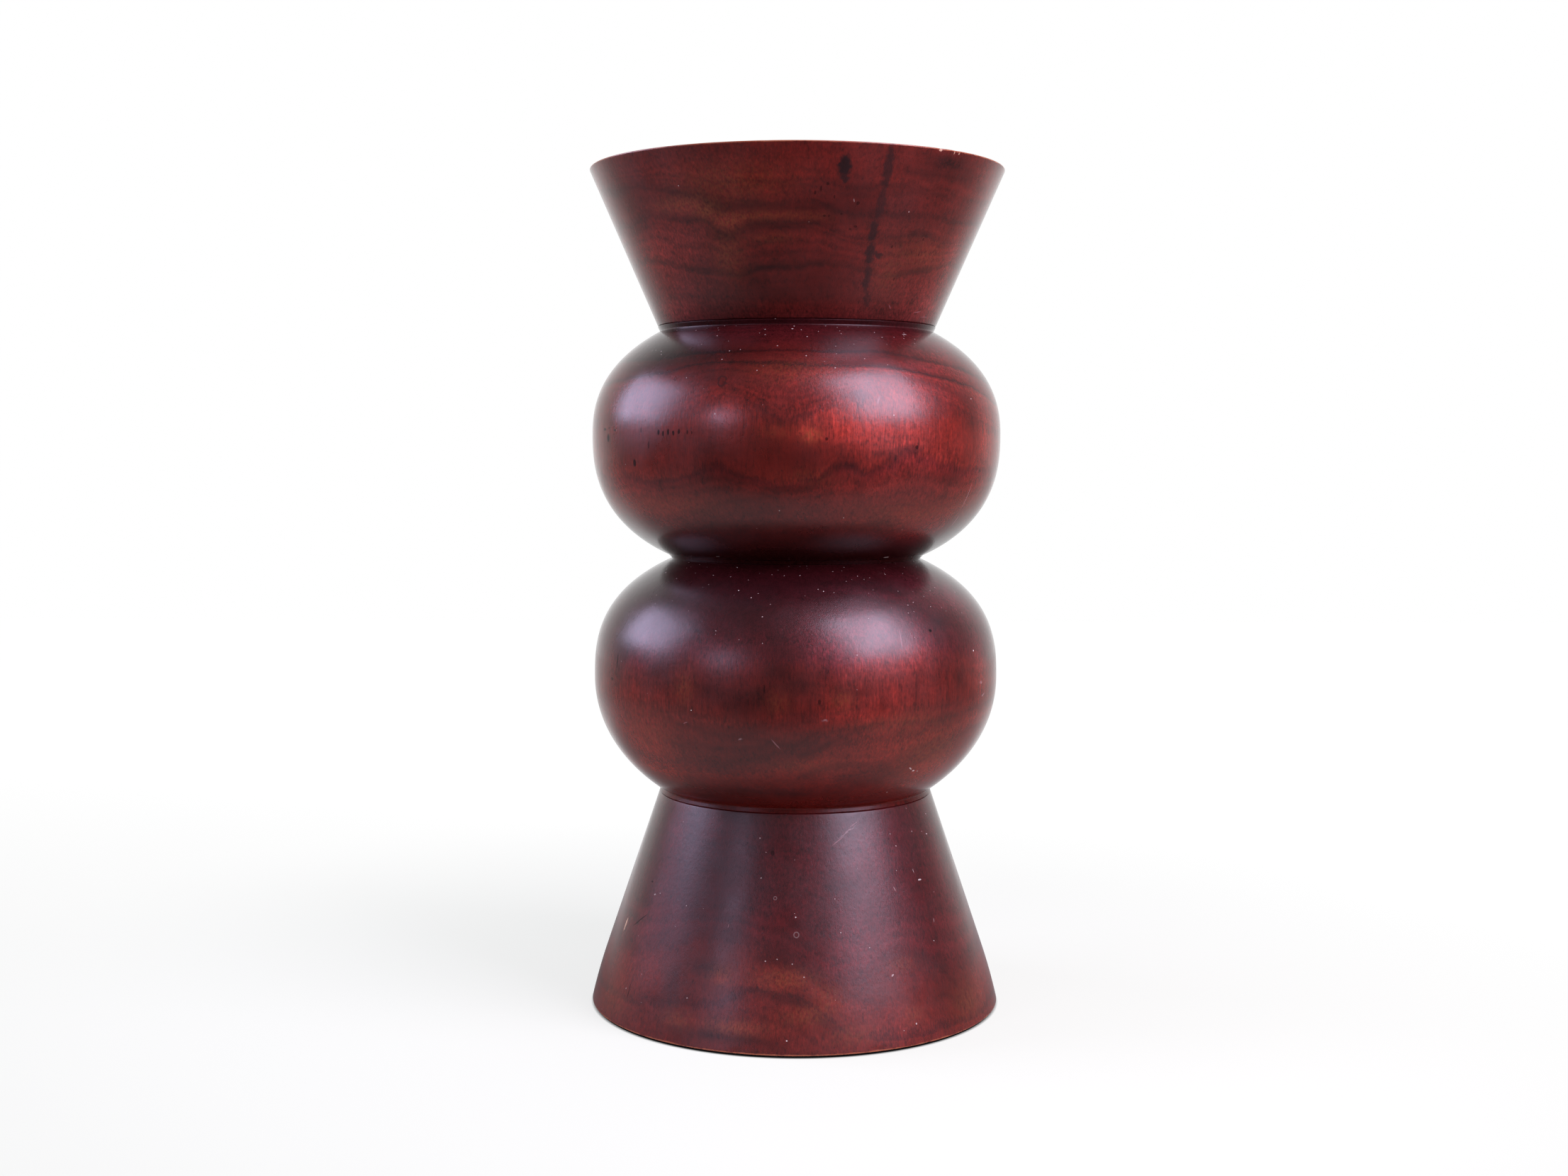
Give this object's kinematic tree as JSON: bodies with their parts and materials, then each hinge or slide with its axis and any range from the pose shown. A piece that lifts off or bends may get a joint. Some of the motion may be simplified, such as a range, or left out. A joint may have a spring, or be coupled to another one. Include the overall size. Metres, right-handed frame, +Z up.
{
  "type": "wooden vase",
  "caption": "Stacked turned wooden vase: conical foot, two round bellies and a flared conical mouth, with a lift-out metal water liner.",
  "frame": {"origin": "centre of the underside, on the surface the vase stands on", "axes": "+Z up along the turning axis, from the foot to the mouth; the front in the picture faces -Y"},
  "size_m": [0.1978, 0.1978, 0.4],
  "materials": {
    "stained_wood": "deep red stain under a satin lacquer",
    "beech": "bare turned beech",
    "aluminium": "spun and brushed",
    "felt": "black pressed felt"
  },
  "bodies": {
    "vase": {"base_pad": "felt", "foot": "stained_wood", "foot_tenon": "beech", "lower_belly": "stained_wood", "waist_tenon": "beech", "upper_belly": "stained_wood", "neck_tenon": "beech", "mouth": "stained_wood"},
    "liner": {"water_liner": "aluminium"}
  },
  "joints": [
    {"name": "liner_lift", "type": "slide", "parent": "vase", "child": "liner", "axis": [0, 0, 1], "range_m": [0, 0.265]}
  ]
}
